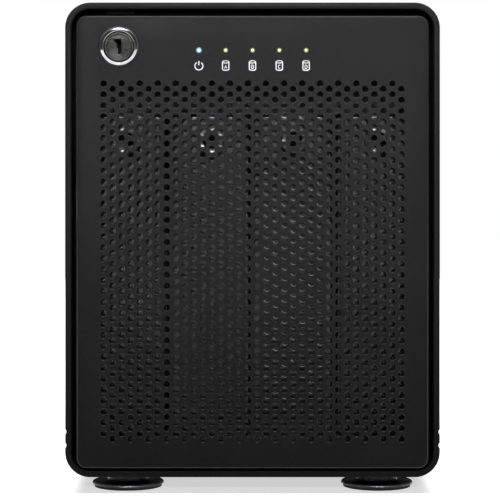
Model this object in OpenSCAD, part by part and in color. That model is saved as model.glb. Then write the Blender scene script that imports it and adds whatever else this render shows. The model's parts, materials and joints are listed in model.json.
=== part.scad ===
// Four-bay desktop drive enclosure with a perforated pull-off door, in millimetres.
// +Z is up, the front faces -Y, and the origin lies on the floor under the middle of the case.

/* [Case] */
// Overall width of the case
case_w = 135; // [134:0.5:140]
// Overall depth, from the lock's bezel to the rear edge of the shell
overall_d = 245; // [245:1:260]
// Overall height, feet included
case_h = 177; // [177:0.5:182]
// Height of the feet under the shell
foot_h = 6; // [6:0.5:8]
// Wall thickness of the wrap-around shell
shell_t = 2.3; // [2:0.1:2.4]
// Radius of the four long edges of the shell
case_r = 9; // [8:0.5:10]

/* [Door] */
// Gap between the door and the shell at the sides
door_side_gap = 1.7; // [1:0.1:2]
// Gap between the door and the shell at the top
door_top_gap = 2.4; // [1.5:0.1:2.6]
// Gap between the door and the shell at the bottom
door_base_gap = 0.8; // [0.6:0.1:1.5]
// Thickness of the perforated door sheet
door_t = 2; // [1.6:0.1:2.2]
// Diameter of one door hole
hole_d = 2.3; // [1.6:0.1:2.5]
// Columns of door holes
hole_columns = 34; // [20:2:34]
// Holes in each column
hole_rows = 33; // [20:1:33]

/* [Bays] */
// Distance between the middles of two drive bays
bay_pitch = 30.5; // [30.3:0.1:30.6]
// Width of one tray front
tray_w = 25; // [24:0.5:26]
// Height of the middle of the tray's thumb screw above the floor
thumb_z = 127.6; // [127.2:0.2:128]

/* [Rear] */
// Side of the square cooling fan
fan_size = 92; // [92:92]
// Distance from the shell's rear edge to the rear panel
rear_inset = 3; // [3:0.5:4]

/* [Hidden] */
$fn = 48;

// --- Planes of the case, from front to rear
bezel_proud = 1;                                // the lock's bezel stands this far off the door
front_y = -overall_d / 2 + bezel_proud;         // front edge of the shell and face of the door
rear_y = overall_d / 2;
panel_t = 1.6;                                  // rear sheet
panel_out_y = rear_y - rear_inset;              // outer face of the rear panel
panel_in_y = panel_out_y - panel_t;
inner_w = case_w - 2 * shell_t;
shell_z = case_h - foot_h;
mid_z = foot_h + shell_z / 2;
floor_z = foot_h + shell_t;                     // inside face of the shell's floor
roof_z = case_h - shell_t;                      // inside face of the shell's roof
inner_r = case_r - shell_t;
play = 0.3;                                     // running gap between parts that move apart

// --- Door
door_w = case_w - 2 * shell_t - 2 * door_side_gap;
door_lo_z = floor_z + door_base_gap;
door_hi_z = roof_z - door_top_gap;
door_h = door_hi_z - door_lo_z;
door_mid_z = (door_lo_z + door_hi_z) / 2;
door_r = 3.6;
door_back_y = front_y + door_t;
hole_dx = 3.25;                                 // from column to column
hole_dz = 3.94;                                 // from hole to hole in a column
hole_top_z = 147.9;                             // middle of the highest hole
lamp_z = 159.8;
lamp_dx = 9.65;
lamp_d = [1.8, 1.4, 1.4, 1.4, 1.4];             // the power lamp is the largest
lamp_gap = 0.1;

// --- Front frame and bays
frame_y = -104;                                 // front face of the black frame
frame_t = 2;
bays = 4;
bay_lo_z = 19.5;
bay_hi_z = 137.2;
bay_w = bays * bay_pitch;
function bay_x(n) = (n - (bays + 1) / 2) * bay_pitch;

// --- Lock
lock_x = -48.1;
lock_z = 161.1;
plug_r = 5.2;
barrel_bore_r = plug_r + 0.08;
barrel_r = 6.6;
bezel_r = 7.5;
cam_y = -109.7;
cam_t = 1.5;
cam_reach = 8;                                  // to the middle of the cam's round end
cam_half = 3;

// --- Trays and drives
tray_y = -107.5;
tray_t = 1.6;
tray_lo_z = 24.9;
tray_hi_z = 136.2;
sheet_t = 1.6;                                  // carrier sheet
drive_t = 26.1;                                 // a 3.5 inch drive stands on its long edge
drive_h = 101.6;
drive_l = 147;
drive_lo_z = 21.3;
drive_y = -98;
screw_r = 1.5;                                  // thread of the thumb screw

// --- Cage
cage_t = 1.2;
cage_y = frame_y + frame_t + 0.1;
cage_end_y = 57;
cage_top_z = bay_hi_z + 0.3;
cage_base_z = bay_lo_z - cage_t;
cage_half = bay_w / 2 + 0.4;                    // inside face of the cage wall
board_y = 55;                                   // front face of the backplane

// --- Rear compartment
fan_z = 82;
fan_t = 25;
fan_hole = 82.5;                                // between the fan's screws
psu = [-56.6, -30, cage_top_z + cage_t + 1.3];  // low corner of the power supply
psu_size = [78.6, panel_in_y + 30, 32];
inlet_x = -42;
inlet_z = psu[2] + psu_size[2] / 2;
blades = [[-7, -2], [0, 2], [7, -2]];           // middles of the inlet's blades, from its middle
rocker_x = -8;
rocker_y = panel_out_y - 3.2;                   // the rocker's pivot
rocker_r = 8.4;
rocker_tilt = 9;
port_z = 13.6;                                  // top face of the main board
ports_x = [-38, -19];
lead_y = 68;                                    // where the power lead leaves the supply's side
lead_r = 1.6;
lead_bend = 7;
feet_x = 46;
feet_y = 102;

// ---------------------------------------------------------------- helpers
module block(lo, hi) { translate(lo) cube(hi - lo); }

// Rectangle with true round corners, centred
module round_rect(w, h, r) {
  square([w - 2 * r, h], center = true);
  square([w, h - 2 * r], center = true);
  for (sx = [-1, 1], sz = [-1, 1]) translate([sx * (w / 2 - r), sz * (h / 2 - r)]) circle(r = r);
}

// Stands a flat outline up in the XZ plane, from y_front backwards by t
module upright(y_front, t) {
  translate([0, y_front + t, 0]) rotate([90, 0, 0]) linear_extrude(t) children();
}

// Round bar along Y, from y_front backwards
module rod(x, y_front, z, r, len) {
  translate([x, y_front + len, z]) rotate([90, 0, 0]) cylinder(r = r, h = len);
}

module at_xz(x, z) { translate([x, z]) children(); }

// Round holes in offset columns, the alternate columns half a step lower
module hole_field(columns, rows, top_z) {
  for (c = [0:columns - 1], r = [0:rows - 1])
    at_xz((c - (columns - 1) / 2) * hole_dx, top_z - (r + (c % 2) / 2) * hole_dz)
      circle(d = hole_d, $fn = 24);
}

module four_corners(dx, dz) {
  for (sx = [-1, 1], sz = [-1, 1]) translate([sx * dx / 2, sz * dz / 2]) children();
}

// Pan-head screw along Y, its head towards the rear, standing on the plane y_seat
module rear_screw(x, z, y_seat, r, len) {
  rod(x, y_seat - len, z, r, len);
  rod(x, y_seat, z, 1.9 * r, 1.3);
}

// ---------------------------------------------------------------- case
module case_shell() {
  groove_w = 1.7;
  groove_d = 0.45;
  color("#1c1c1d") difference() {
    union() {
      upright(front_y, rear_y - front_y) difference() {
        at_xz(0, mid_z) round_rect(case_w, shell_z, case_r);
        at_xz(0, mid_z) round_rect(inner_w, shell_z - 2 * shell_t, inner_r);
        for (side = [-1, 1], z = [17.4, 22.3])
          at_xz(side * case_w / 2, z) square([2 * groove_d, groove_w], center = true);
      }
      // Standoffs under the main board
      for (x = [-52, 52], y = [26, 108])
        translate([x, y, floor_z - 0.5]) cylinder(r = 3, h = port_z - 1.6 - floor_z + 0.5);
      // Corner bosses that take the rear panel's screws
      for (x = [-1, 1], z = [-1, 1])
        rod(x * (inner_w / 2 - 4.2), panel_in_y - 12, mid_z + z * (shell_z / 2 - shell_t - 4.2), 4.3, 12);
    }
    for (x = [-1, 1], z = [-1, 1])
      rod(x * (inner_w / 2 - 4.2), panel_in_y - 11, mid_z + z * (shell_z / 2 - shell_t - 4.2), 1.5, 12);
    for (x = [-1, 1], y = [-1, 1])
      translate([x * feet_x, y * feet_y, foot_h - 1]) cylinder(r = 1.6, h = shell_t + 2);
  }
}

module front_frame() {
  strike_y = cam_y - 2.3;
  color("#101011") difference() {
    union() {
      upright(frame_y, frame_t) difference() {
        at_xz(0, mid_z) round_rect(inner_w - 0.2, shell_z - 2 * shell_t - 0.2, inner_r);
        at_xz(0, (bay_lo_z + bay_hi_z) / 2) square([bay_w + 0.4, bay_hi_z - bay_lo_z], center = true);
        for (p = [[54, 14.5], [-54, 14.5], [54, 160]]) at_xz(p[0], p[1]) circle(r = 2.5 + play);
        for (i = [0:4]) at_xz((i - 2) * lamp_dx, lamp_z) circle(r = 1.3);
      }
      // Strike that holds the turned lock cam: a shelf over the cam and a lip before it
      block([lock_x - 5, strike_y, roof_z - 2], [lock_x + 5, frame_y + 0.5, roof_z - 0.2]);
      block([lock_x - 5, strike_y, roof_z - 4.7], [lock_x + 5, strike_y + 1.3, roof_z - 1]);
    }
  }
}

module rear_panel() {
  color("#1a1a1b") upright(panel_in_y, panel_t) difference() {
    at_xz(0, mid_z) round_rect(inner_w - 0.3, shell_z - 2 * shell_t - 0.3, inner_r - 0.1);
    // Fan grille: rings of round holes in offset rows
    for (r = [-8:8], c = [-8:8])
      if (norm([(c + (abs(r) % 2) / 2) * 6.2, r * 5.4]) < 41.5)
        at_xz((c + (abs(r) % 2) / 2) * 6.2, fan_z + r * 5.4) circle(d = 5, $fn = 24);
    at_xz(0, fan_z) four_corners(fan_hole, fan_hole) circle(r = 2.2);
    at_xz(0, mid_z)
      four_corners(inner_w - 8.4, shell_z - 2 * shell_t - 8.4) circle(r = 1.7);
    for (x = ports_x) at_xz(x, port_z + 6.9) square([16.4, 14], center = true);
    at_xz(6, port_z + 3.6) square([14.6, 7.2], center = true);
    at_xz(22, port_z + 3) circle(r = 1.7);
    at_xz(inlet_x, inlet_z) square([27.4, 20.4], center = true);
    at_xz(rocker_x, inlet_z) square([14.4, 21.4], center = true);
    // Slot for a cable lock
    at_xz(52, 24) round_rect(3.2, 7, 1.2);
  }
}

// ---------------------------------------------------------------- cage
module cage_walls() {
  color("#8d9093") for (side = [-1, 1]) difference() {
    block([side * cage_half - (side < 0 ? cage_t : 0), cage_y, cage_base_z],
          [side * cage_half + (side > 0 ? cage_t : 0), cage_end_y, cage_top_z + cage_t]);
    for (y = [-86:24:34])
      block([side * cage_half - 3, y - 8, 40], [side * cage_half + 3, y + 8, 115]);
  }
}

module cage_top_plate() {
  lug_lo_z = drive_lo_z + drive_h + 2.3;
  color("#8d9093") difference() {
    union() {
      block([-cage_half, cage_y, cage_top_z], [cage_half, cage_end_y, cage_top_z + cage_t]);
      // One lug in each bay takes the thread of that bay's thumb screw
      for (n = [1:bays])
        block([bay_x(n) - 4.5, cage_y, lug_lo_z], [bay_x(n) + 4.5, cage_y + 2, cage_top_z + 0.5]);
    }
    for (n = [1:bays]) rod(bay_x(n), cage_y - 1, thumb_z, screw_r + 0.06, 4);
    for (x = [-45, -15, 15, 45], y = [-60, -10])
      block([x - 9, y - 15, cage_top_z - 1], [x + 9, y + 15, cage_top_z + 3]);
  }
}

module cage_bottom_plate() {
  base_end_y = 48;
  color("#8d9093") {
    difference() {
      block([-cage_half, cage_y, cage_base_z], [cage_half, base_end_y, bay_lo_z]);
      for (x = [-45, -15, 15, 45], y = [-65, -15])
        block([x - 9, y - 20, cage_base_z - 1], [x + 9, y + 20, bay_lo_z + 1]);
    }
    // Legs down to the shell's floor
    for (x = [-57, 57], y = [-92, 8])
      block([x - 0.8, y - 6, floor_z], [x + 0.8, y + 6, cage_base_z + 0.2]);
  }
}

// Grooves overhead for the carriers' side sheets, and low ribs between the carriers
module bay_guide_rails() {
  rail_end_y = 40;
  color("#d8d8d4") {
    for (n = [1:bays]) {
      edge_x = bay_x(n) - 13.5;
      difference() {
        block([edge_x - 1.9, cage_y + 3, cage_top_z - 4], [edge_x + 1.9, rail_end_y, cage_top_z]);
        block([edge_x - 1.15, cage_y + 2, cage_top_z - 5], [edge_x + 1.15, rail_end_y + 1, cage_top_z - 0.8]);
      }
    }
    for (n = [1:bays - 1])
      block([bay_x(n) + 14.3, cage_y + 3, bay_lo_z], [bay_x(n) + 15.8, rail_end_y, bay_lo_z + 5]);
  }
}

// ---------------------------------------------------------------- electronics
module backplane_board() {
  color("#1f5c38") upright(board_y, 1.6) difference() {
    at_xz(0, 78) square([2 * cage_half - 1, 114], center = true);
    for (n = [1:bays]) at_xz(bay_x(n) + 3, 80) round_rect(12, 76, 3);
  }
}

module backplane_connectors() {
  color("#202022") {
    for (n = [1:bays]) difference() {
      block([bay_x(n) - 11, drive_y + drive_l + 0.3, 26], [bay_x(n) - 5, board_y, 68]);
      block([bay_x(n) - 8.8, drive_y + drive_l - 1, 28], [bay_x(n) - 7.4, board_y - 2, 66]);
    }
    // Bridge down to the main board
    block([-20, board_y - 4.8, port_z], [20, board_y, 26]);
  }
}

module main_board() {
  color("#1d5534") {
    difference() {
      block([-56, 22, port_z - 1.6], [56, panel_in_y - 2, port_z]);
      for (x = [-52, 52], y = [26, 108]) translate([x, y, 8]) cylinder(r = 1.6, h = 8);
    }
    // Processor under the heat sink, memory and control chips
    block([-8, 66, port_z - 0.2], [8, 82, port_z + 1.2]);
    for (x = [20, 34]) block([x, 66, port_z - 0.2], [x + 11, 76, port_z + 1]);
    block([-40, 62, port_z - 0.2], [-26, 76, port_z + 1.3]);
  }
}

module board_heat_sink() {
  fins = 8;
  side = 32;
  base_z = port_z + 1.2;
  color("#9ea1a4") translate([-side / 2, 74 - side / 2, base_z]) {
    cube([side, side, 2.5]);
    for (i = [0:fins - 1]) translate([i * (side - 1.2) / (fins - 1), 0, 1]) cube([1.2, side, 10]);
  }
}

module ethernet_ports() {
  color("#b9bbbd") for (x = ports_x) difference() {
    block([x - 8, panel_in_y - 20, port_z], [x + 8, panel_out_y + 0.6, port_z + 13.5]);
    block([x - 5.9, panel_in_y - 9, port_z + 2], [x + 5.9, panel_out_y + 2, port_z + 9]);
    block([x - 3.1, panel_in_y - 7, port_z + 8.5], [x + 3.1, panel_out_y + 2, port_z + 11.2]);
  }
}

module usb_port() {
  color("#c4c6c8") {
    difference() {
      block([-0.8, panel_in_y - 12, port_z], [12.8, panel_out_y + 0.6, port_z + 6.6]);
      block([-0.2, panel_in_y - 9, port_z + 0.6], [12.2, panel_out_y + 2, port_z + 6]);
    }
    block([0.7, panel_in_y - 9.5, port_z + 3.8], [11.3, panel_out_y - 0.8, port_z + 5.6]);
  }
}

module power_supply_case() {
  wall = 1;
  hi = psu + psu_size;
  color("#9a9c9e") difference() {
    translate(psu) cube(psu_size);
    translate(psu + [wall, wall, wall]) cube(psu_size - 2 * [wall, wall, wall]);
    // Clear way for the inlet's body and the rocker's body through the rear wall
    block([inlet_x - 13.9, hi[1] - 2, inlet_z - 10.4], [inlet_x + 13.9, hi[1] + 1, inlet_z + 10.4]);
    block([rocker_x - 7.4, hi[1] - 2, inlet_z - 10.9], [rocker_x + 7.4, hi[1] + 1, inlet_z + 10.9]);
    for (i = [0:11]) block([psu[0] + 10 + i * 5.2, psu[1] - 1, psu[2] + 6],
                           [psu[0] + 12.6 + i * 5.2, psu[1] + 2, psu[2] + 26]);
    for (i = [0:13]) block([hi[0] - 2, psu[1] + 14 + i * 5.2, psu[2] + 6],
                           [hi[0] + 1, psu[1] + 16.6 + i * 5.2, psu[2] + 26]);
    // Grommet hole of the lead
    translate([hi[0] - 2, lead_y, inlet_z]) rotate([0, 90, 0]) cylinder(r = 2.2, h = 4);
  }
}

// Quarter bend of a round lead, from +X travel to -Z travel, starting at the origin
module lead_elbow() {
  translate([0, 0, -lead_bend]) rotate([90, 0, 0])
    rotate_extrude(angle = 90) translate([lead_bend, 0]) circle(r = lead_r, $fn = 24);
}

// From the power supply's side, across, down and to the back of the backplane
module power_lead() {
  start_x = psu[0] + psu_size[0] - 0.6;
  turn_x = 36;
  plug_z = 120;
  color("#2b2b2d") {
    translate([start_x, lead_y, inlet_z]) rotate([0, 90, 0]) cylinder(r = lead_r, h = turn_x - start_x);
    translate([turn_x, lead_y, inlet_z]) lead_elbow();
    translate([turn_x + lead_bend, lead_y, plug_z]) cylinder(r = lead_r, h = inlet_z - lead_bend - plug_z);
    block([turn_x + lead_bend - 5, board_y + 1.6, plug_z - 8], [turn_x + lead_bend + 5, 71, plug_z + 0.5]);
  }
}

// Moulded mains inlet and the rocker's housing
module power_inlet() {
  flange_t = 1.6;
  color("#161617") difference() {
    union() {
      block([inlet_x - 15.2, panel_out_y, inlet_z - 12], [inlet_x + 15.2, panel_out_y + flange_t, inlet_z + 12]);
      block([inlet_x - 13.5, panel_in_y - 19, inlet_z - 10], [inlet_x + 13.5, panel_out_y + 0.5, inlet_z + 10]);
      block([rocker_x - 8.6, panel_out_y, inlet_z - 12], [rocker_x + 8.6, panel_out_y + flange_t, inlet_z + 12]);
      block([rocker_x - 7, panel_in_y - 14, inlet_z - 10.5], [rocker_x + 7, panel_out_y + 0.5, inlet_z + 10.5]);
      block([inlet_x + 15, panel_out_y, inlet_z - 4], [rocker_x - 8.4, panel_out_y + flange_t, inlet_z + 4]);
    }
    // Socket recess with its two upper corners cut off
    upright(panel_out_y - 16.4, 20) at_xz(inlet_x, inlet_z)
      polygon([[-12, -8.2], [12, -8.2], [12, 3.4], [7.2, 8.2], [-7.2, 8.2], [-12, 3.4]]);
    block([rocker_x - 5.5, panel_in_y - 10, inlet_z - 9], [rocker_x + 5.5, panel_out_y + 3, inlet_z + 9]);
    inlet_blade_bars(0.02);
  }
}

// The three blades; gap makes the slots that they are pushed into a little larger
module inlet_blade_bars(gap) {
  for (p = blades)
    block([inlet_x + p[0] - 1 - gap, panel_out_y - 20 - gap, inlet_z + p[1] - 2 - gap],
          [inlet_x + p[0] + 1 + gap, panel_out_y - 5.4, inlet_z + p[1] + 2 + gap]);
}

module inlet_blades() { color("#c9cacc") inlet_blade_bars(0); }

// The rocker stands pressed in at its lower half; its back is a round belly about the pivot
module power_rocker() {
  color("#0f0f10") translate([rocker_x, rocker_y, inlet_z]) rotate([-rocker_tilt, 0, 0])
    rotate([90, 0, 90]) translate([0, 0, -5.1]) linear_extrude(10.2) intersection() {
      circle(r = rocker_r);
      polygon([[-4, -9], [4.8, -9], [4.8, -6.9], [3.4, 0], [4.8, 6.9], [4.8, 9], [-4, 9]]);
    }
}

module fan_frame() {
  y0 = panel_in_y - fan_t;
  half = fan_size / 2;
  color("#151516") difference() {
    union() {
      difference() {
        upright(y0, fan_t) at_xz(0, fan_z) round_rect(fan_size, fan_size, 4);
        rod(0, y0 - 1, fan_z, half - 1.6, fan_t + 2);
        // Waists between the two mounting flanges
        for (a = [0:90:270]) translate([0, 0, fan_z]) rotate([0, a, 0]) translate([0, 0, -fan_z])
          block([-half + 14, y0 + 4, fan_z + half - 1.2], [half - 14, y0 + fan_t - 4, fan_z + half + 1]);
      }
      // Motor plate and its four arms at the rear
      rod(0, y0 + fan_t - 2.5, fan_z, 19, 2.5);
      for (a = [45:90:315]) translate([0, 0, fan_z]) rotate([0, a, 0])
        block([15, y0 + fan_t - 2.5, -2], [half - 0.5, y0 + fan_t, 2]);
      rod(0, y0 + 8, fan_z, 2, fan_t - 9);
    }
    translate([0, 0, fan_z]) rotate([90, 0, 0]) translate([0, 0, -y0 - fan_t - 1])
      linear_extrude(fan_t + 2) four_corners(fan_hole, fan_hole) circle(r = 2.15);
  }
}

module fan_rotor() {
  y0 = panel_in_y - fan_t + 1.5;
  blades = 7;
  color("#232325") difference() {
    union() {
      rod(0, y0, fan_z, 18.5, 17.5);
      // Pitched blades, one flat bar each
      for (i = [0:blades - 1]) translate([0, y0 + 9, fan_z]) rotate([0, i * 360 / blades, 0])
        translate([30, 0, 0]) rotate([38, 0, 0]) cube([25.5, 1.8, 21], center = true);
    }
    rod(0, y0 + 2.5, fan_z, 15, 20);
  }
  color("#232325") difference() {
    rod(0, y0 + 2, fan_z, 4, 14);
    rod(0, y0 + 4, fan_z, 2.08, 20);
  }
}

module fan_lead() {
  x = 38;
  top_z = 38;
  y = panel_in_y - fan_t - lead_bend;
  color("#2b2b2d") {
    translate([x, panel_in_y - fan_t, top_z]) rotate([0, 0, -90]) lead_elbow();
    translate([x, y, port_z + 3]) cylinder(r = lead_r, h = top_z - lead_bend - port_z - 3);
    block([x - 4, y - 4, port_z], [x + 4, y + 2, port_z + 3.5]);
  }
}

module fan_screws() {
  color("#1b1b1c") for (sx = [-1, 1], sz = [-1, 1])
    rear_screw(sx * fan_hole / 2, fan_z + sz * fan_hole / 2, panel_out_y, 2.1, 9);
}

module rear_panel_screws() {
  color("#2a2a2b") for (x = [-1, 1], z = [-1, 1])
    rear_screw(x * (inner_w / 2 - 4.2), mid_z + z * (shell_z / 2 - shell_t - 4.2), panel_out_y, 1.45, 10);
}

// Small push button that stands just proud of the rear panel
module reset_button() {
  color("#3a3a3c") {
    rod(22, panel_in_y - 3, port_z + 3, 1.4, panel_t + 3.8);
    rod(22, panel_in_y - 2.2, port_z + 3, 2.3, 2);
  }
}

// ---------------------------------------------------------------- lamps
module led_board() {
  y = frame_y + frame_t + 1;
  color("#1d5534") {
    block([-26, y, lamp_z - 6], [26, y + 1.6, lamp_z + 6]);
    for (i = [0:4])
      block([(i - 2) * lamp_dx - 0.8, y - 0.9, lamp_z - 0.8], [(i - 2) * lamp_dx + 0.8, y + 0.2, lamp_z + 0.8]);
  }
}

// Clear rods from the lamps to just behind the door, on one cross bar
module light_pipes() {
  pipe_y = door_back_y + 1.1;
  color("#d5dadd") {
    for (i = [0:4]) rod((i - 2) * lamp_dx, pipe_y, lamp_z, 1.1, frame_y + frame_t - 0.3 - pipe_y);
    block([-23, frame_y - 2, lamp_z - 1.8], [23, frame_y, lamp_z + 1.8]);
  }
}

// ---------------------------------------------------------------- feet
module at_feet() {
  for (x = [-1, 1], y = [-1, 1]) translate([x * feet_x, y * feet_y, 0]) children();
}

// Turned foot: a wide low disc and a narrower neck
module foot_bases() {
  color("#2a2a2b") at_feet() rotate_extrude()
    polygon([[1.7, 1], [12.9, 1], [13.3, 1.3], [13.3, 1.9], [13, 2.2], [8, 2.5], [7.3, 3.2], [7.3, foot_h],
             [1.7, foot_h], [1.7, 3.4], [3.4, 3.4], [3.4, 1.6], [3.4, 1.2], [1.7, 1.2]]);
}

module foot_pads() {
  color("#141414") at_feet() difference() {
    cylinder(r = 12.4, h = 1);
    translate([0, 0, -1]) cylinder(r = 3.6, h = 3);
  }
}

module foot_screws() {
  color("#8a8c8e") at_feet() {
    translate([0, 0, 1.4]) cylinder(r = 3.2, h = 1.9);
    translate([0, 0, 3]) cylinder(r = 1.5, h = foot_h + shell_t - 3);
  }
}

// ---------------------------------------------------------------- door
module door_panel() {
  color("#2b2b2c") upright(front_y, door_t) difference() {
    at_xz(0, door_mid_z) round_rect(door_w, door_h, door_r);
    hole_field(hole_columns, hole_rows, hole_top_z);
    at_xz(lock_x, lock_z) circle(r = barrel_r + 0.1);
    for (i = [0:4]) at_xz((i - 2) * lamp_dx, lamp_z) circle(d = lamp_d[i] + lamp_gap, $fn = 24);
  }
}

// Ring behind the sheet, with the three pegs that plug into the front frame
module door_frame() {
  ring_t = 1.2;
  ring_d = 5.5;
  gusset_t = 2;
  peg_len = 17.6;
  half = door_w / 2 - 1.4;
  color("#18181a") {
    upright(door_back_y, ring_d) difference() {
      at_xz(0, door_mid_z) round_rect(door_w - 0.6, door_h - 0.6, door_r - 0.3);
      at_xz(0, door_mid_z) round_rect(door_w - 0.6 - 2 * ring_t, door_h - 0.6 - 2 * ring_t, door_r - 0.3 - ring_t);
    }
    for (side = [-1, 1]) block([side > 0 ? 50 : -half, door_back_y, door_lo_z + 0.8],
                               [side > 0 ? half : -50, door_back_y + gusset_t, 18]);
    block([50, door_back_y, 156.4], [half, door_back_y + gusset_t, door_hi_z - 0.8]);
    for (p = [[54, 14.5], [-54, 14.5], [54, 160]]) rod(p[0], door_back_y, p[1], 2.5, peg_len);
  }
}

module door_lenses() {
  color("#e8f0c8") for (i = [0:4]) {
    rod((i - 2) * lamp_dx, front_y, lamp_z, lamp_d[i] / 2, door_t + 0.2);
    rod((i - 2) * lamp_dx, door_back_y, lamp_z, 1.5, 0.6);
  }
}

// ---------------------------------------------------------------- lock
module lock_barrel() {
  body_end_y = -110.2;
  color("#c9cacc") difference() {
    union() {
      translate([lock_x, front_y, lock_z]) rotate([90, 0, 0]) rotate_extrude()
        polygon([[0, 0], [bezel_r, 0], [bezel_r, 0.35], [6.4, bezel_proud], [0, bezel_proud]]);
      rod(lock_x, front_y - 0.1, lock_z, barrel_r, body_end_y - front_y + 0.1);
    }
    rod(lock_x, -overall_d / 2 - 1, lock_z, barrel_bore_r, 20);
  }
}

module lock_nut() {
  across = 16;
  color("#a6a8aa") upright(door_back_y, 2.5) at_xz(lock_x, lock_z) difference() {
    rotate(30) circle(d = across / cos(30), $fn = 6);
    circle(r = barrel_r + 0.1);
  }
}

module lock_plug() {
  face_y = -overall_d / 2 + 0.5;
  shank_y = cam_y - 0.3;
  color("#b4b6b8") {
    difference() {
      rod(lock_x, face_y, lock_z, plug_r, shank_y - face_y);
      // Keyway, wider at its top
      block([lock_x - 0.7, face_y - 1, lock_z - 2.7], [lock_x + 0.7, face_y + 7, lock_z + 2.7]);
      block([lock_x - 1.3, face_y - 1, lock_z + 0.6], [lock_x + 1.3, face_y + 7, lock_z + 2.7]);
    }
    block([lock_x - 2.5, shank_y - 0.2, lock_z - 2.5], [lock_x + 2.5, cam_y + cam_t + 0.2, lock_z + 2.5]);
    rod(lock_x, cam_y + cam_t, lock_z, 3.9, 1.4);
  }
}

// The cam points sideways while the door is free, and up behind the strike when it is locked
module lock_cam() {
  color("#8d9093") upright(cam_y, cam_t) at_xz(lock_x, lock_z) difference() {
    union() {
      circle(r = 5);
      translate([0, -cam_half]) square([cam_reach, 2 * cam_half]);
      translate([cam_reach, 0]) circle(r = cam_half);
    }
    square(5.1, center = true);
  }
}

// ---------------------------------------------------------------- trays
module tray_front(n) {
  color("#262627") translate([bay_x(n), 0, 0]) upright(tray_y, tray_t) difference() {
    at_xz(0, (tray_lo_z + tray_hi_z) / 2) round_rect(tray_w, tray_hi_z - tray_lo_z, 1.2);
    hole_field(7, 24, 120.6);
    at_xz(0, thumb_z) circle(r = screw_r + 0.4);
  }
}

// Bent sheet: a side the drive is screwed to, a floor under it and a front that backs the tray front
module tray_carrier(n) {
  y0 = tray_y + tray_t;
  rear = drive_y + drive_l - 4;
  lo_z = bay_lo_z + 0.4;
  hi_z = bay_hi_z - 1;
  color("#141415") translate([bay_x(n), 0, 0]) {
    upright(y0, sheet_t) difference() {
      translate([-14.3, lo_z]) square([27.8, hi_z - lo_z]);
      at_xz(0, thumb_z) circle(r = screw_r + 0.4);
    }
    difference() {
      block([-14.3, y0 + 0.2, lo_z], [-12.7, rear, hi_z]);
      for (y = [-83:25:17]) block([-16, y - 9, 40], [-11, y + 9, 112]);
    }
    difference() {
      block([-14.3, y0 + 0.2, lo_z], [13.5, rear, lo_z + 1.2]);
      for (y = [-70, -15]) block([-8, y - 20, lo_z - 1], [9, y + 20, lo_z + 3]);
    }
  }
}

module drive_base(n) {
  x0 = -12.5;
  color("#7f8386") translate([bay_x(n), 0, 0]) difference() {
    block([x0, drive_y, drive_lo_z], [x0 + drive_t - 1.4, drive_y + drive_l, drive_lo_z + drive_h]);
    // Platter chamber, open on the cover's side
    translate([x0 + 8, drive_y + 50, drive_lo_z + drive_h / 2]) rotate([0, 90, 0]) cylinder(r = 47, h = 30);
    block([x0 + 8, drive_y + 60, drive_lo_z + 6], [x0 + 40, drive_y + drive_l - 8, drive_lo_z + drive_h - 6]);
    // Shallow bed for the circuit board
    block([x0 - 1, drive_y + 38, drive_lo_z + 6], [x0 + 2.4, drive_y + drive_l + 1, drive_lo_z + drive_h - 6]);
  }
}

module drive_cover(n) {
  x0 = -12.5 + drive_t - 1.4;
  color("#a9acae") translate([bay_x(n), 0, 0]) difference() {
    union() {
      block([x0, drive_y + 1, drive_lo_z + 1], [x0 + 0.9, drive_y + drive_l - 6, drive_lo_z + drive_h - 1]);
      block([x0, drive_y + 7, drive_lo_z + 8], [x0 + 1.4, drive_y + drive_l - 14, drive_lo_z + drive_h - 8]);
    }
    for (y = [4, 72, 138], z = [4, drive_h - 4])
      translate([x0 + 0.4, drive_y + y, drive_lo_z + z]) rotate([0, 90, 0]) cylinder(r = 1.6, h = 3);
  }
}

module drive_board(n) {
  x0 = -12.5;
  color("#1e5a38") translate([bay_x(n), 0, 0]) {
    block([x0 + 1.1, drive_y + 39, drive_lo_z + 7], [x0 + 2.3, drive_y + drive_l, drive_lo_z + drive_h - 7]);
    block([x0 + 0.3, drive_y + 60, drive_lo_z + 50], [x0 + 1.3, drive_y + 76, drive_lo_z + 66]);
    block([x0 + 0.3, drive_y + 90, drive_lo_z + 30], [x0 + 1.3, drive_y + 100, drive_lo_z + 44]);
  }
}

// Captive knurled screw: head, shoulder and thread
module thumb_screw(n) {
  head_r = 4.8;
  head_y = -116;
  head_t = 6.5;
  notches = 20;
  color("#c4c6c8") translate([bay_x(n), 0, 0]) {
    upright(head_y, head_t) at_xz(0, thumb_z) difference() {
      circle(r = head_r);
      for (i = [0:notches - 1]) rotate(i * 360 / notches) translate([head_r + 0.1, 0])
        rotate(45) square(0.75, center = true);
    }
    rod(0, head_y + head_t - 0.2, thumb_z, 3, tray_y - head_y - head_t + 0.1);
    rod(0, tray_y - 0.3, thumb_z, screw_r, cage_y + 2.2 - tray_y);
  }
}

case_shell();
front_frame();
rear_panel();
cage_walls();
cage_top_plate();
cage_bottom_plate();
bay_guide_rails();
backplane_board();
backplane_connectors();
main_board();
board_heat_sink();
ethernet_ports();
usb_port();
power_supply_case();
power_lead();
power_inlet();
inlet_blades();
power_rocker();
fan_frame();
fan_rotor();
fan_lead();
fan_screws();
rear_panel_screws();
reset_button();
led_board();
light_pipes();
foot_bases();
foot_pads();
foot_screws();
door_panel();
door_frame();
door_lenses();
lock_barrel();
lock_nut();
lock_plug();
lock_cam();
for (n = [1:bays]) {
  tray_front(n);
  tray_carrier(n);
  drive_base(n);
  drive_cover(n);
  drive_board(n);
  thumb_screw(n);
}
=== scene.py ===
# %% [markdown]
# # A four-bay drive enclosure
# The object is a desk-top box of bent steel with a perforated door at the front. The packed
# model already holds every part at its real size. Here each part that shows gets the soft edges,
# fine details and finishes that the real maker's tools and paint would leave on it.

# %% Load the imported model
import json
import math

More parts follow.
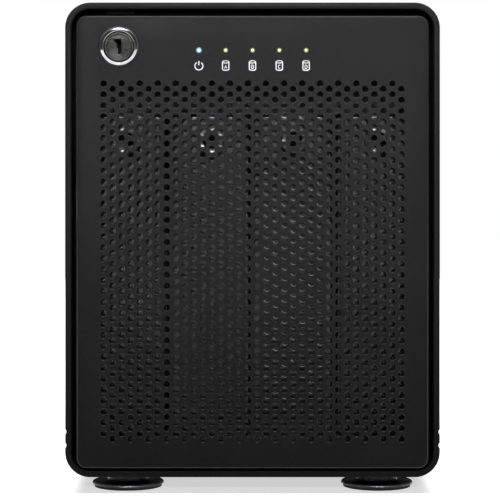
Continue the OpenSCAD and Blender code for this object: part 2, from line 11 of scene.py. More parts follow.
import bmesh
import bpy
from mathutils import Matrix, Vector


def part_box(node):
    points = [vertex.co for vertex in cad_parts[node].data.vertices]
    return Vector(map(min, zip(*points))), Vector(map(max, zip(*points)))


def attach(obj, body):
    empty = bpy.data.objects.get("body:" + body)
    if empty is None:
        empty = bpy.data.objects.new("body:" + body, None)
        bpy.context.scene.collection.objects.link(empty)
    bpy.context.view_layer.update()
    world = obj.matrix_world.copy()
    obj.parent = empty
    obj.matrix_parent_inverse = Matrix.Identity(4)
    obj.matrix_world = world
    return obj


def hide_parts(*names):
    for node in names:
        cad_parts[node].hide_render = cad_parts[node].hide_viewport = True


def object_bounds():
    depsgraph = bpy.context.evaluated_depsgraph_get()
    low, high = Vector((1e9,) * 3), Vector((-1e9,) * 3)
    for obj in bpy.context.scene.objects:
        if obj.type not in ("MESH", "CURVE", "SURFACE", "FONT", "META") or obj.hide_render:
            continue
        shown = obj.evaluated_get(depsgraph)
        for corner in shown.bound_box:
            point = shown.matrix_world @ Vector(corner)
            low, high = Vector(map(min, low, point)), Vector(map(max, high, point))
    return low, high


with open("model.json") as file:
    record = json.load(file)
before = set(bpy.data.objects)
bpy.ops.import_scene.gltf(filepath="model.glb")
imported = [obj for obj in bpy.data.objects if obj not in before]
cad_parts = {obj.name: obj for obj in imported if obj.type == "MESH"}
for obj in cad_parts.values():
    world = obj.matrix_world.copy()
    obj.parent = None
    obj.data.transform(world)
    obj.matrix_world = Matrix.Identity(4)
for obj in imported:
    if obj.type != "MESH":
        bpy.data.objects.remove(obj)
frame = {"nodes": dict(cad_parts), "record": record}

cad_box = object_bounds()
MM = 0.001
bays = range(1, 5)
print("frame", [round(v / MM, 1) for v in (*cad_box[0], *cad_box[1])])

# %% [markdown]
# ## Small hand tools
# A modeller works with a few habits: clear the selection, pick some faces or edges, change them,
# and leave the piece with its place in its mesh. Each habit is a short function here, so that
# the cells below read like the steps of the work.

# %% Selecting and leaving edit mode
def bare():
    """Object mode with nothing selected."""
    if bpy.context.object and bpy.context.object.mode != "OBJECT":
        bpy.ops.object.mode_set(mode="OBJECT")
    bpy.ops.object.select_all(action="DESELECT")


def only(piece):
    """The piece alone is selected and active."""
    bare()
    piece.select_set(True)
    bpy.context.view_layer.objects.active = piece


def pick(piece, kind, test):
    """In edit mode, selects the VERT, EDGE or FACE elements whose middle passes the test."""
    bpy.ops.mesh.select_mode(type=kind)
    bpy.ops.mesh.select_all(action="DESELECT")
    mesh = bmesh.from_edit_mesh(piece.data)
    for part in {"VERT": mesh.verts, "EDGE": mesh.edges, "FACE": mesh.faces}[kind]:
        ends = [part] if kind == "VERT" else part.verts
        middle = sum((v.co for v in ends), Vector()) / len(ends)
        if test(middle, part):
            part.select_set(True)
    mesh.select_flush_mode()
    bmesh.update_edit_mesh(piece.data)


def settle(piece, name):
    """Names the piece and puts its place, turn and size into its mesh."""
    only(piece)
    bpy.ops.object.transform_apply(location=True, rotation=True, scale=True)
    piece.name = piece.data.name = name
    return piece


def change(piece, kind, **settings):
    """Adds one modifier and applies it."""
    only(piece)
    step = piece.modifiers.new(kind.lower(), kind)
    for key, value in settings.items():
        setattr(step, key, value)
    bpy.ops.object.modifier_apply(modifier=step.name)
    return piece


def soften(piece, width, segments=2, angle=40):
    """Rounds every edge sharper than the angle, as a deburring wheel or a mould does."""
    return change(piece, "BEVEL", width=width * MM, segments=segments, limit_method="ANGLE",
                  angle_limit=math.radians(angle), harden_normals=False)


def cut(piece, *cutters):
    """Takes the cutters' volumes out of the piece and throws the cutters away."""
    for cutter in cutters:
        change(piece, "BOOLEAN", operation="DIFFERENCE", solver="MANIFOLD", object=cutter)
        bpy.data.objects.remove(cutter)
    return piece


def join(name, pieces):
    """Several loose pieces become one object."""
    bare()
    for piece in pieces:
        piece.select_set(True)
    bpy.context.view_layer.objects.active = pieces[0]
    bpy.ops.object.join()
    return settle(pieces[0], name)


def again(piece, name, dx=0, dy=0, dz=0):
    """A copy with a mesh of its own, moved by millimetres."""
    only(piece)
    bpy.ops.object.duplicate(linked=False)
    copy = bpy.context.object
    copy.location += Vector((dx, dy, dz)) * MM
    return settle(copy, name)

# %% Starting shapes
def box(name, low, high):
    """A box between two corners in millimetres."""
    bare()
    bpy.ops.mesh.primitive_cube_add(size=1, location=[(a + b) / 2 * MM for a, b in zip(low, high)])
    bpy.context.object.scale = [(b - a) * MM for a, b in zip(low, high)]
    return settle(bpy.context.object, name)


def round_box(name, low, high, corner, segments=8):
    """A box whose four edges along Y are rounded."""
    piece = box(name, low, high)
    bpy.ops.object.mode_set(mode="EDIT")
    pick(piece, "EDGE", lambda m, e: abs(e.verts[0].co.y - e.verts[1].co.y) > 1e-6)
    bpy.ops.mesh.bevel(offset=corner * MM, segments=segments, affect="EDGES")
    bare()
    return piece


def bar(name, x, z, radius, y_from, y_to, sides=24):
    """A round bar along Y."""
    bare()
    bpy.ops.mesh.primitive_cylinder_add(vertices=sides, radius=radius * MM, depth=(y_to - y_from) * MM,
                                        location=(x * MM, (y_from + y_to) / 2 * MM, z * MM),
                                        rotation=(math.pi / 2, 0, 0))
    return settle(bpy.context.object, name)


def turned(name, outline, x, y, z, axis=(0, 1, 0), steps=48):
    """Spins an outline of (radius, distance along the axis) pairs round the axis, as a lathe does."""
    centre, along = Vector((x, y, z)) * MM, Vector(axis)
    points = [centre + Vector((r * MM, 0, 0)) + along * (d * MM) for r, d in outline]
    bare()
    bpy.ops.mesh.primitive_plane_add(size=MM, location=points[0])
    piece = settle(bpy.context.object, name)
    bpy.ops.object.mode_set(mode="EDIT")
    bpy.ops.mesh.select_mode(type="VERT")
    bpy.ops.mesh.select_all(action="SELECT")
    bpy.ops.mesh.merge(type="CENTER")
    for here, there in zip(points, points[1:]):
        bpy.ops.mesh.extrude_vertices_move(TRANSFORM_OT_translate={"value": there - here})
    bpy.ops.mesh.select_all(action="SELECT")
    bpy.ops.mesh.spin(steps=steps, angle=2 * math.pi, center=centre, axis=axis)
    bpy.ops.mesh.select_all(action="SELECT")
    bpy.ops.mesh.remove_doubles(threshold=1e-6)
    bpy.ops.mesh.normals_make_consistent(inside=False)
    bare()
    return piece


def corners(node):
    """A node's lowest and highest corner, in millimetres."""
    return [[c / MM for c in corner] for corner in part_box(node)]


def middle_of(node):
    """A node's middle, in millimetres."""
    return [(a + b) / 2 for a, b in zip(*corners(node))]


def off_axis(point, x, z):
    """How far a point lies from the line along Y through x, z, in millimetres."""
    return math.hypot(point.x / MM - x, point.z / MM - z)


def slopes(face):
    """True where a face is neither along Y nor square to it, as on a rounded or flared edge."""
    return 0.15 < abs(face.normal.y) < 0.97

# %% [markdown]
# ## Paint, plate and plastic
# Every finish starts from the real material: its colour as a hex value, how rough it is, and
# whether it is a metal. Then a pattern at its true size breaks the surface up: the pebbled skin
# of powder coat, the brush lines of sheet, the lathe rings on a turned face. One helper adds a
# node with its settings and its links, so a finish reads as a short list.

# %% Colours and nodes
def tone(code, alpha=1.0):
    """An sRGB hex colour as the linear values that shaders use."""
    parts = [int(code[i:i + 2], 16) / 255 for i in (1, 3, 5)]
    return (*[c / 12.92 if c <= 0.04045 else ((c + 0.055) / 1.055) ** 2.4 for c in parts], alpha)


def put(tree, kind, feeds=(), values=None, **settings):
    """Adds one node, sets it up and links the outputs in feeds to its inputs."""
    made = tree.nodes.new(kind)
    for key, value in settings.items():
        setattr(made, key, value)
    for key, value in (values or {}).items():
        made.inputs[key].default_value = value
    for key, source in feeds:
        tree.links.new(source, made.inputs[key])
    return made


def finish(name, colour, roughness, metallic=0.0, **more):
    """A new material with its constants on the shader. Returns material, tree, shader, position."""
    made = bpy.data.materials.new(name)
    made.use_nodes = True
    tree = made.node_tree
    shader = tree.nodes["Principled BSDF"]
    shader.inputs["Base Color"].default_value = tone(colour)
    shader.inputs["Roughness"].default_value = roughness
    shader.inputs["Metallic"].default_value = metallic
    for key, value in more.items():
        shader.inputs[key.replace("_", " ")].default_value = value
    where = put(tree, "ShaderNodeTexCoord").outputs["Object"]
    return made, tree, shader, where


def speckle(tree, where, size_mm, detail=2.0, stretch=(1, 1, 1)):
    """Noise whose blotches are about size_mm across, longer where stretch is under one."""
    scaled = put(tree, "ShaderNodeMapping", [("Vector", where)], {"Scale": stretch}).outputs[0]
    return put(tree, "ShaderNodeTexNoise", [("Vector", scaled)],
               {"Scale": 1 / (size_mm * MM), "Detail": detail}).outputs["Fac"]


def tint(tree, shader, pattern, low, high, start=0.35, end=0.65):
    """Colours the surface between two tones by the pattern."""
    ramp = put(tree, "ShaderNodeValToRGB", [("Fac", pattern)])
    ramp.color_ramp.elements[0].position, ramp.color_ramp.elements[1].position = start, end
    ramp.color_ramp.elements[0].color, ramp.color_ramp.elements[1].color = tone(low), tone(high)
    tree.links.new(ramp.outputs["Color"], shader.inputs["Base Color"])


def polish(tree, shader, pattern, low, high):
    """Lets the roughness wander between two values by the pattern."""
    spread = put(tree, "ShaderNodeMapRange", [("Value", pattern)],
                 {"From Min": 0.3, "From Max": 0.7, "To Min": low, "To Max": high})
    tree.links.new(spread.outputs["Result"], shader.inputs["Roughness"])


def emboss(tree, shader, pattern, height_mm, strength=1.0):
    """Raises the surface by the pattern."""
    bump = put(tree, "ShaderNodeBump", [("Height", pattern)],
               {"Strength": strength, "Distance": height_mm * MM})
    tree.links.new(bump.outputs["Normal"], shader.inputs["Normal"])


def rings(tree, where, x, z, spacing_mm):
    """Circles round a line along Y through x, z, one every spacing_mm."""
    centred = put(tree, "ShaderNodeMapping", [("Vector", where)],
                  {"Location": (-x * MM, 0, -z * MM), "Scale": (1, 0, 1)}).outputs[0]
    reach = put(tree, "ShaderNodeVectorMath", [(0, centred)], operation="LENGTH").outputs["Value"]
    turns = put(tree, "ShaderNodeMath", [(0, reach)], {1: 2 * math.pi / (spacing_mm * MM)},
                operation="MULTIPLY").outputs[0]
    return put(tree, "ShaderNodeMath", [(0, turns)], operation="SINE").outputs[0]

# %% [markdown]
# ### Powder coat
# The case and door are steel sprayed with dry powder and baked. The powder melts into a skin
# with a pebble of about a third of a millimetre, so highlights turn soft and slightly grainy.
# On the sharp lip of a punched hole the coat is glossier, and a lighter colour there is a painted
# highlight.

# %% Powder coat on the case, door and trays
def powder_coat(name, dark, light, roughness, sheen=0.1, pebble_mm=0.42):
    made, tree, shader, where = finish(name, dark, roughness, Specular_IOR_Level=sheen)
    pebble = speckle(tree, where, pebble_mm, 3)
    broad = speckle(tree, where, 24, 2)
    blend = put(tree, "ShaderNodeMix", [("A", pebble), ("B", broad)], {"Factor": 0.35}).outputs[0]
    tint(tree, shader, blend, dark, light, 0.3, 0.7)
    polish(tree, shader, broad, roughness - 0.04, roughness + 0.05)
    emboss(tree, shader, pebble, 0.035, 0.7)
    return made


case_coat = powder_coat("black_powder_coat_on_steel", "#070708", "#0e0e0f", 0.46, 0.05)
door_coat = powder_coat("black_powder_coat_on_door_steel", "#060607", "#151516", 0.5, 0.05, 0.6)
# A lighter, glossier coat for punched lips and rounded rims: the lighter colour is a painted highlight.
edge_highlight_coat = powder_coat("glossy_coat_with_painted_highlight_on_punched_edges", "#141415", "#202021", 0.36, 0.35)
# A much lighter coat for the trays' upward edges: a painted highlight.
tray_lip_highlight_coat = powder_coat("painted_highlight_on_tray_edges", "#767677", "#929293", 0.34, 0.5)
tray_coat = powder_coat("grey_powder_coat_on_tray_steel", "#303031", "#3c3c3d", 0.46)
rear_coat = powder_coat("black_powder_coat_on_rear_sheet", "#151516", "#202021", 0.5, 0.3)
inner_coat = powder_coat("grey_paint_on_carrier_sheet", "#363637", "#434344", 0.55)
coats = (case_coat, door_coat, edge_highlight_coat, tray_lip_highlight_coat, tray_coat, rear_coat, inner_coat)
print("powder coats", [coat.name for coat in coats])

# %% [markdown]
# ### Moulded plastics and rubber
# Moulds for housings are spark-eroded, which leaves a fine matt grain; switches are polished.
# Rubber has a wider, softer grain, and lead jackets are smooth vinyl.

# %% Moulded plastics and rubber
def moulded(name, dark, light, roughness, grain_mm, height_mm):
    made, tree, shader, where = finish(name, dark, roughness)
    grain = speckle(tree, where, grain_mm, 2)
    tint(tree, shader, speckle(tree, where, 9), dark, light)
    polish(tree, shader, grain, roughness - 0.05, roughness + 0.06)
    emboss(tree, shader, grain, height_mm, 0.6)
    return made


housing_abs = moulded("spark_eroded_black_abs", "#060607", "#0c0c0d", 0.55, 0.25, 0.015)
fan_pbt = moulded("moulded_black_pbt", "#0b0b0c", "#121214", 0.42, 0.5, 0.01)
switch_abs = moulded("polished_black_abs", "#070707", "#0d0d0e", 0.16, 1.2, 0.002)
rail_pom = moulded("moulded_black_acetal", "#0a0a0b", "#111112", 0.45, 0.6, 0.01)
pad_rubber = moulded("moulded_black_rubber", "#0c0c0c", "#161616", 0.75, 0.6, 0.03)
lead_vinyl = moulded("extruded_black_vinyl", "#0d0d0e", "#161617", 0.4, 2.0, 0.01)

# %% [markdown]
# ### Bare and plated metals
# Zinc-plated sheet shows long rolling lines and faint cloudy patches. Chrome is nearly a mirror
# with hairline scratches. Turned faces keep the rings that the lathe tool left.

# %% Metals
def rolled_sheet(name, dark, light, roughness, along=(1, 0.04, 1)):
    made, tree, shader, where = finish(name, dark, roughness, 1.0)
    lines = speckle(tree, where, 0.35, 3, along)
    clouds = speckle(tree, where, 7, 3)
    tint(tree, shader, clouds, dark, light)
    polish(tree, shader, lines, roughness - 0.08, roughness + 0.1)
    emboss(tree, shader, lines, 0.006, 0.4)
    return made


def plated(name, dark, light, roughness):
    made, tree, shader, where = finish(name, dark, roughness, 1.0)
    scratches = speckle(tree, where, 0.5, 4, (0.12, 1, 1))
    tint(tree, shader, speckle(tree, where, 2.5), dark, light)
    polish(tree, shader, scratches, roughness, roughness + 0.12)
    emboss(tree, shader, scratches, 0.004, 0.3)
    return made


def lathe_turned(name, dark, light, roughness, x, z, spacing_mm):
    made, tree, shader, where = finish(name, dark, roughness, 1.0)
    groove = rings(tree, where, x, z, spacing_mm)
    stain = speckle(tree, where, 1.1, 4)
    tint(tree, shader, stain, dark, light, 0.3, 0.7)
    polish(tree, shader, stain, roughness - 0.06, roughness + 0.14)
    emboss(tree, shader, groove, 0.05, 0.8)
    return made


zinc_sheet = rolled_sheet("zinc_plated_rolled_sheet", "#8e9296", "#a9adb1", 0.34)
# The drive lids get a near-black colour: painted shade for the dark gaps between the trays.
drive_lid_steel = rolled_sheet("dark_lid_sheet_as_painted_shade", "#1c1d1e", "#2a2b2c", 0.42)
tinned_sheet = rolled_sheet("tinned_steel_shell", "#a3a6a9", "#c2c5c8", 0.26, (1, 0.1, 1))
extruded_aluminium = rolled_sheet("extruded_bare_aluminium", "#a8abae", "#bfc2c5", 0.38)
cast_aluminium = moulded("cast_aluminium", "#74787b", "#8c9093", 0.5, 0.7, 0.05)
cast_aluminium.node_tree.nodes["Principled BSDF"].inputs["Metallic"].default_value = 1.0
chrome_plate = plated("polished_chrome_plate", "#a4a6a9", "#bcbec0", 0.1)
nickel_plate = plated("bright_nickel_plate", "#a9a8a4", "#c3c1bc", 0.2)
satin_nickel = plated("satin_nickel_plate", "#bebcb7", "#d6d4ce", 0.46)
black_oxide = plated("black_oxide_on_steel", "#1b1b1c", "#2a2a2b", 0.38)
foot_anodise = rolled_sheet("black_anodised_aluminium", "#3a3a3c", "#4b4b4d", 0.32, (1, 1, 1))

# %% [markdown]
# ### Circuit board
# Solder mask is a glossy green lacquer over copper. Where copper lies under it the green is
# lighter, so square cells at the spacing of the copper areas break its colour up.

# %% Circuit board, clear plastic, ink and light
def solder_mask():
    made, tree, shader, where = finish("green_solder_mask_on_fibreglass", "#061a0e", 0.34)
    cells = put(tree, "ShaderNodeTexVoronoi", [("Vector", where)],
                {"Scale": 1 / (2.4 * MM)}, distance="MANHATTAN", feature="F1").outputs["Distance"]
    tint(tree, shader, cells, "#04140a", "#0d3219", 0.18, 0.3)
    emboss(tree, shader, cells, 0.05, 0.5)
    return made


def clear_acrylic():
    made, tree, shader, where = finish("moulded_clear_acrylic", "#e6ecef", 0.08, IOR=1.49,
                                       Transmission_Weight=0.85)
    emboss(tree, shader, speckle(tree, where, 3), 0.01, 0.3)
    return made


def screen_ink():
    made, tree, shader, where = finish("screen_printed_grey_ink", "#b9babb", 0.6)
    tint(tree, shader, speckle(tree, where, 0.3), "#a9aaab", "#c9cacb")
    emboss(tree, shader, speckle(tree, where, 0.15), 0.005, 0.4)
    return made


def lit_lens(name, x, z, radius_mm, core, halo, power):
    """A lens with a lamp behind its middle: white at the core, coloured and dim at its rim."""
    made, tree, shader, where = finish(name, halo, 0.25)
    centred = put(tree, "ShaderNodeMapping", [("Vector", where)],
                  {"Location": (-x * MM, 0, -z * MM), "Scale": (1, 0, 1)}).outputs[0]
    reach = put(tree, "ShaderNodeVectorMath", [(0, centred)], operation="LENGTH").outputs["Value"]
    spread = put(tree, "ShaderNodeMapRange", [("Value", reach)],
                 {"From Min": 0.0, "From Max": radius_mm * MM, "To Min": 0.0, "To Max": 1.0}).outputs[0]
    ramp = put(tree, "ShaderNodeValToRGB", [("Fac", spread)])
    ramp.color_ramp.interpolation = "EASE"
    ramp.color_ramp.elements[0].color, ramp.color_ramp.elements[1].color = tone(core), tone("#0a0b0a")
    ramp.color_ramp.elements[0].position = 0.3
    ramp.color_ramp.elements.new(0.62).color = tone(halo)
    tree.links.new(ramp.outputs["Color"], shader.inputs["Emission Color"])
    shader.inputs["Emission Strength"].default_value = power
    return made


board_mask = solder_mask()
pipe_acrylic = clear_acrylic()
print_ink = screen_ink()
print("materials", len(bpy.data.materials))

# %% [markdown]
# ### Dressing the parts that stay as packed
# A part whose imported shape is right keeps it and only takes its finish. Each record slot has one
# finish, so a table from slot to finish dresses them all.

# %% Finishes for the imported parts
slot_finish = {
    "shell_paint": case_coat, "door_paint": door_coat, "tray_paint": tray_coat,
    "carrier_paint": inner_coat, "rear_paint": rear_coat, "black_plastic": housing_abs,
    "zinc_steel": zinc_sheet, "rail_plastic": rail_pom, "circuit_board": board_mask,
    "connector_plastic": housing_abs, "connector_shell": tinned_sheet,
    "bare_aluminium": extruded_aluminium, "lead_jacket": lead_vinyl, "bright_nickel": nickel_plate,
    "gloss_black": switch_abs, "fan_plastic": fan_pbt, "black_screw": black_oxide,
    "clear_plastic": pipe_acrylic, "foot_metal": foot_anodise, "foot_rubber": pad_rubber,
    "lamp_lens": pipe_acrylic, "lock_chrome": chrome_plate, "drive_casting": cast_aluminium,
    "drive_lid": drive_lid_steel,
}
node_slot = {s["node"]: s["material_slot"] for s in frame["record"]["subparts"]}
for node_name, packed in frame["nodes"].items():
    packed.data.materials.clear()
    packed.data.materials.append(slot_finish[node_slot[node_name]])
print("dressed", len(frame["nodes"]), "packed parts")

# %% Handing a finished piece over
def hand_over(piece, body, node=None, slot=None, material=None, smooth=35):
    """Dresses a piece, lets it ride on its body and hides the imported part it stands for."""
    only(piece)
    bpy.ops.object.shade_smooth_by_angle(angle=math.radians(smooth))
    slot = slot or node_slot[node]
    piece.data.materials.clear()
    piece.data.materials.append(material or slot_finish[slot])
    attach(piece, body)
    if node:
        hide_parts(node)
    print(f"{piece.name}: {len(piece.data.polygons)} faces on {body}")
    return piece

# %% A second finish on some faces
def second_finish(piece, material, test):
    """Gives the faces that pass the test another finish."""
    piece.data.materials.append(material)
    only(piece)
    bpy.ops.object.mode_set(mode="EDIT")
    pick(piece, "FACE", test)
    piece.active_material_index = len(piece.data.materials) - 1
    bpy.ops.object.material_slot_assign()
    bare()

# %% [markdown]
# ## The wrap-around case
# The real case is one sheet bent round four corners, with two fine lines rolled in low on each
# side. It could be drawn as a profile and extruded. Starting from a box is quicker here: round
# its four long edges, open the ends, give the skin its thickness, and round the rims.

# %% The case
def make_case():
    low, high = corners("case_shell")
    wall, corner = 2.3, 9
    piece = round_box("case_wrap", low, high, corner, 14)
    bpy.ops.object.mode_set(mode="EDIT")
    pick(piece, "FACE", lambda m, f: abs(f.normal.y) > 0.9)
    bpy.ops.mesh.delete(type="FACE")
    bare()
    change(piece, "SOLIDIFY", thickness=wall * MM, offset=-1, use_even_offset=True)
    soften(piece, 0.5, 3, 60)
    lines = []
    for side in (low[0], high[0]):
        for z in (17.4, 22.3):
            line = box("line", (side - 0.45, low[1] - 1, z - 0.85), (side + 0.45, high[1] + 1, z + 0.85))
            lines.append(soften(line, 0.3, 2))
    return cut(piece, *lines)


hand_over(make_case(), "case", "case_shell")

# %% [markdown]
# ## The perforated door
# The door is punched sheet: 34 columns of round holes, every second column half a step lower.
# Cutting each hole by hand would take all day. One punch is modelled instead, with the flared
# mouth that a real punch draws into the sheet, then arrays repeat it down and across, and one
# cut takes all 1122 holes out together.

# %% One punch, repeated
hole_r, flare, hole_dx, hole_dz = 1.15, 0.22, 3.25, 3.94


def punch(name, x, z, y_face, depth):
    """A round punch along Y whose mouth opens at the face."""
    bare()
    bpy.ops.mesh.primitive_circle_add(vertices=16, radius=(hole_r + flare) * MM, fill_type="NGON",
                                      location=(x * MM, (y_face - 0.02) * MM, z * MM),
                                      rotation=(math.pi / 2, 0, 0))
    piece = settle(bpy.context.object, name)
    middle = Vector((x, y_face, z)) * MM
    bpy.ops.object.mode_set(mode="EDIT")
    bpy.ops.mesh.select_all(action="SELECT")
    for forward, size in ((0.12, 0.88), (0.16, hole_r / ((hole_r + flare) * 0.88)), (depth + 0.3, 1)):
        bpy.ops.mesh.extrude_region_move(TRANSFORM_OT_translate={"value": (0, forward * MM, 0)})
        bpy.ops.transform.resize(value=(size, 1, size), center_override=middle)
    bpy.ops.mesh.select_all(action="SELECT")
    bpy.ops.mesh.normals_make_consistent(inside=False)
    bare()
    return piece


def punches(x_middle, columns, rows, z_top, y_face, depth):
    """The whole field of punches, in two sets of columns."""
    left = x_middle - (columns - 1) / 2 * hole_dx
    sets = []
    for shift in (0, 1):
        piece = punch("punch", left + shift * hole_dx, z_top - shift * hole_dz / 2, y_face, depth)
        change(piece, "ARRAY", count=rows, use_relative_offset=False, use_constant_offset=True,
               constant_offset_displace=(0, 0, -hole_dz * MM))
        change(piece, "ARRAY", count=(columns + 1 - shift) // 2, use_relative_offset=False,
               use_constant_offset=True, constant_offset_displace=(2 * hole_dx * MM, 0, 0))
        sets.append(piece)
    return join("punches", sets)

# %% The door sheet
lamp_x = [-19.3, -9.65, 0.0, 9.65, 19.3]
lamp_z = 159.8
lamp_r = [1.05, 0.9, 0.9, 0.9, 0.9]
lock_x, lock_z = -48.1, 161.1


def make_door():
    low, high = corners("door_panel")
    piece = round_box("door_sheet", low, high, 3.6, 10)
    bpy.ops.object.mode_set(mode="EDIT")
    pick(piece, "EDGE", lambda m, e: all(v.co.y < (low[1] + 0.01) * MM for v in e.verts))
    bpy.ops.mesh.bevel(offset=0.95 * MM, segments=4, affect="EDGES")
    bare()
    cut(piece, punches(0, 34, 33, 147.9, low[1], high[1] - low[1]))
    mouths = [bar("mouth", x, lamp_z, r + 0.05, low[1] - 1, high[1] + 1, 20)
              for x, r in zip(lamp_x, lamp_r)]
    mouths.append(bar("mouth", lock_x, lock_z, 6.7, low[1] - 1, high[1] + 1, 48))
    return cut(piece, *mouths)


# The sloping faces are the holes' flared mouths and the rounded rim of the sheet; their lighter coat is
# a painted highlight.
second_finish(hand_over(make_door(), "door", "door_panel"), edge_highlight_coat, lambda m, f: slopes(f))

# %% [markdown]
# ## Tray fronts
# Behind the door stand four narrow plates, punched in the same pattern, one for each drive. Each
# stops a little short of the edge of its bay, so that a dark gap shows between two of them. One is
# modelled and copied along the row. Edges that face upwards, such as the lower lip of each hole,
# get a much lighter coat, a painted highlight for the light from above.

# %% Four tray fronts
def make_tray_front():
    low, high = corners("tray_front_1")
    middle = middle_of("tray_front_1")[0]
    side_gap = 0.75
    low, high = [low[0] + side_gap, low[1], low[2]], [high[0] - side_gap, high[1], high[2]]
    piece = round_box("tray_face_1", low, high, 1.4, 6)
    soften(piece, 0.35, 2, 60)
    cut(piece, punches(middle, 7, 24, 120.6, low[1], high[1] - low[1]))
    return cut(piece, bar("mouth", middle, 127.6, 1.9, low[1] - 1, high[1] + 1))


tray_pitch = corners("tray_front_2")[0][0] - corners("tray_front_1")[0][0]
first_tray = make_tray_front()
trays = [first_tray] + [again(first_tray, f"tray_face_{n}", (n - 1) * tray_pitch) for n in (2, 3, 4)]
for n, piece in zip(bays, trays):
    hand_over(piece, f"tray_{n}", f"tray_front_{n}")
    # Upward-facing sloping faces take the lighter coat: a painted highlight.
    second_finish(piece, tray_lip_highlight_coat, lambda m, f: slopes(f) and f.normal.z > 0.2)

# %% [markdown]
# ## Knurled thumb screws
# A thumb screw's head is knurled by pressing a toothed wheel into it, then its face is turned
# and a cross is struck for a driver. A gear-like rim of notches cut round a lathe-turned head
# gives the same bright, broken ring of light.

# %% Four thumb screws
def make_thumb_screw():
    face_y = corners("thumb_screw_1")[0][1]
    x, _, z = middle_of("thumb_screw_1")
    outline = [(0, 0.9), (2.2, 0.9), (2.5, 0.7), (2.9, 0.15), (3.2, 0), (4.45, 0), (4.75, 0.3),
               (4.75, 5.9), (4.3, 6.4), (3.1, 6.5), (3.0, 8.3), (1.5, 8.45), (1.5, 15.4), (1.1, 16),
               (0, 16)]
    piece = turned("knurled_screw_1", outline, x, face_y, z, steps=60)
    teeth, knurl_r, half = 24, 4.78, 0.32
    notches = []
    for i in range(teeth):
        angle = 2 * math.pi * i / teeth
        notch = box("notch", (-half, face_y - 1, -half), (half, face_y + 6.1, half))
        notch.rotation_euler = (0, math.pi / 4 + angle, 0)
        notch.location = ((x + knurl_r * math.cos(angle)) * MM, 0, (z - knurl_r * math.sin(angle)) * MM)
        notches.append(settle(notch, "notch"))
    cut(piece, join("notches", notches))
    arms = [box("arm", (x - w, face_y + 0.2, z - h), (x + w, face_y + 1.7, z + h))
            for w, h in ((0.4, 1.7), (1.7, 0.4))]
    return cut(piece, *arms)


first_screw = make_thumb_screw()
screws = [first_screw]
screws += [again(first_screw, f"knurled_screw_{n}", (n - 1) * tray_pitch) for n in (2, 3, 4)]
black_centre_r = 3.0
for n, piece in zip(bays, screws):
    hand_over(piece, f"thumb_{n}", f"thumb_screw_{n}", material=satin_nickel, smooth=30)
    x, _, z = middle_of(f"thumb_screw_{n}")
    second_finish(piece, black_oxide, lambda m, f: off_axis(m, x, z) < black_centre_r)

# %% [markdown]
# ## The key lock
# A cam lock's barrel has a sloping chrome bezel with a bright crest, and inside it the plug
# turns, a little sunk, with the marks of the lathe on its face and a stepped keyway.

# %% Barrel and plug
def make_barrel():
    face_y = corners("lock_barrel")[0][1]
    outline = [(5.28, 12.3), (5.28, 1.5), (5.36, 0.7), (5.5, 0.2), (5.62, 0.04), (5.75, 0), (5.9, 0.06),
               (6.66, 0.42), (6.72, 0.5), (7.2, 0.52), (7.42, 0.62), (7.5, 0.8), (7.5, 1.0), (6.6, 1.0),
               (6.6, 12.1), (6.4, 12.3), (5.28, 12.3)]
    return turned("lock_bezel", outline, lock_x, face_y, lock_z, steps=72)


def make_plug():
    low, high = corners("lock_plug")
    depth = high[1] - low[1]
    outline = [(0, 0.16), (4.3, 0.16), (4.45, 0.02), (4.9, 0), (5.1, 0.12), (5.2, 0.35), (5.2, 12.0),
               (3.9, 12.1), (3.9, depth - 0.3), (3.6, depth), (0, depth)]
    piece = turned("lock_face", outline, lock_x, low[1], lock_z, steps=72)
    stem, head, ward = (-0.45, 0.95, -2.7, 2.7), (-1.6, 0.95, 1.5, 2.75), (-0.9, 0.9, -0.6, 1.6)
    for left, right, bottom, top in (stem, head, ward):
        cut(piece, box("keyway", (lock_x + left, low[1] - 1, lock_z + bottom),
                       (lock_x + right, low[1] + 6, lock_z + top)))
    return piece


# Beyond this radius the bezel's outer flange takes black oxide: a painted dark reflection where the
# chrome would mirror the dim room.
chrome_r = 6.68
second_finish(hand_over(make_barrel(), "door", "lock_barrel"), black_oxide,
              lambda m, f: off_axis(m, lock_x, lock_z) > chrome_r)
plug_turned = lathe_turned("turned_brass_under_nickel", "#191918", "#383837", 0.34, lock_x, lock_z, 0.7)
# The keyway's inner walls and floor get a near-black coat: painted shade for the depth of a real keyway,
# much deeper than this 6 mm cut.
keyway_shade_coat = powder_coat("painted_shade_in_the_keyway", "#030303", "#070706", 0.6, 0.02)
keyway_r, keyway_y = 3.6, (corners("lock_plug")[0][1] + 3) * MM
second_finish(hand_over(make_plug(), "lock", "lock_plug", material=plug_turned), keyway_shade_coat,
              lambda m, f: (abs(f.normal.y) < 0.5 or m.y > keyway_y)
              and off_axis(m, lock_x, lock_z) < keyway_r)

# %% [markdown]
# ## Lamps and printed symbols
# Each lamp is a small domed lens. The light behind it makes its middle nearly white and its rim
# a dim colour. Under each lens a symbol is screen-printed: the usual power mark, and a drive
# drawn as a cylinder with the bay's letter in it. The strokes are drawn as thin rods pressed
# flat, because a printed line is a line of even width with round ends.

# %% Five lenses
def make_lens(i):
    face_y = corners("door_lenses")[0][1]
    r = lamp_r[i]
    outline = [(0, -0.12), (r * 0.5, -0.08), (r * 0.85, 0.0), (r, 0.12), (r, 2.2), (0, 2.2)]
    return turned(f"lamp_lens_{i}", outline, lamp_x[i], face_y, lamp_z, steps=24)


